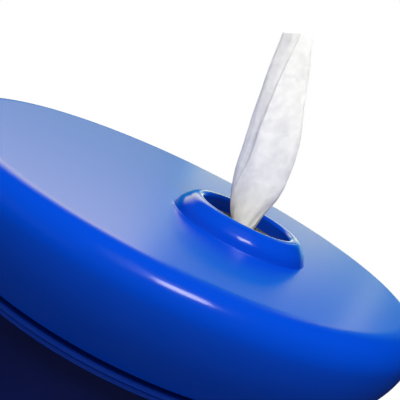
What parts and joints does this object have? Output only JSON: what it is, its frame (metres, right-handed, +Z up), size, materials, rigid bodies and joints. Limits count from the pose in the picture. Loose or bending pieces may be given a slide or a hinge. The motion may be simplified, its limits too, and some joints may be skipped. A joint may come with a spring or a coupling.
{
  "type": "countertop wipes dispenser",
  "caption": "Round canister for a centre-pull roll of wipes, with a lift-off bowl-sided lid, an off-centre collared outlet and a gathered wipe drawn up through it.",
  "frame": {"origin": "on the counter, under the centre of the canister", "axes": "+Z up along the canister's axis, -Y towards the front, where the outlet is, +X to the right"},
  "size_m": [0.251, 0.251, 0.38],
  "materials": {
    "lid_plastic": "moulded polypropylene, glossy",
    "band_plastic": "moulded polypropylene, glossy",
    "base_plastic": "moulded polypropylene, satin gloss",
    "platform_plastic": "moulded polypropylene, natural",
    "clamp_plastic": "moulded nylon, matte",
    "diaphragm_rubber": "die-cut sheet rubber, dull",
    "gasket_rubber": "extruded silicone, dull",
    "foot_rubber": "moulded elastomer, dull",
    "screw_steel": "plated steel",
    "roll_web": "wound nonwoven web, damp",
    "wipe_web": "thermally bonded nonwoven web"
  },
  "bodies": {
    "canister": {"base_shell": "base_plastic", "trim_band": "band_plastic", "drain_platform": "platform_plastic", "wipe_roll": "roll_web", "foot_rear_right": "foot_rubber", "foot_rear_left": "foot_rubber", "foot_front_left": "foot_rubber", "foot_front_right": "foot_rubber", "foot_screws": "screw_steel"},
    "lid": {"lid_shell": "lid_plastic", "outlet_diaphragm": "diaphragm_rubber", "outlet_clamp_ring": "clamp_plastic", "clamp_screws": "screw_steel", "rim_gasket": "gasket_rubber"},
    "wipe": {"wipe_strip": "wipe_web"}
  },
  "joints": [
    {"name": "lid_lift", "type": "slide", "parent": "canister", "child": "lid", "axis": [0, 0, 1], "range_m": [0, 0.12]},
    {"name": "wipe_pull", "type": "slide", "parent": "lid", "child": "wipe", "axis": [0, 0, 1], "range_m": [0, 0.08]}
  ]
}
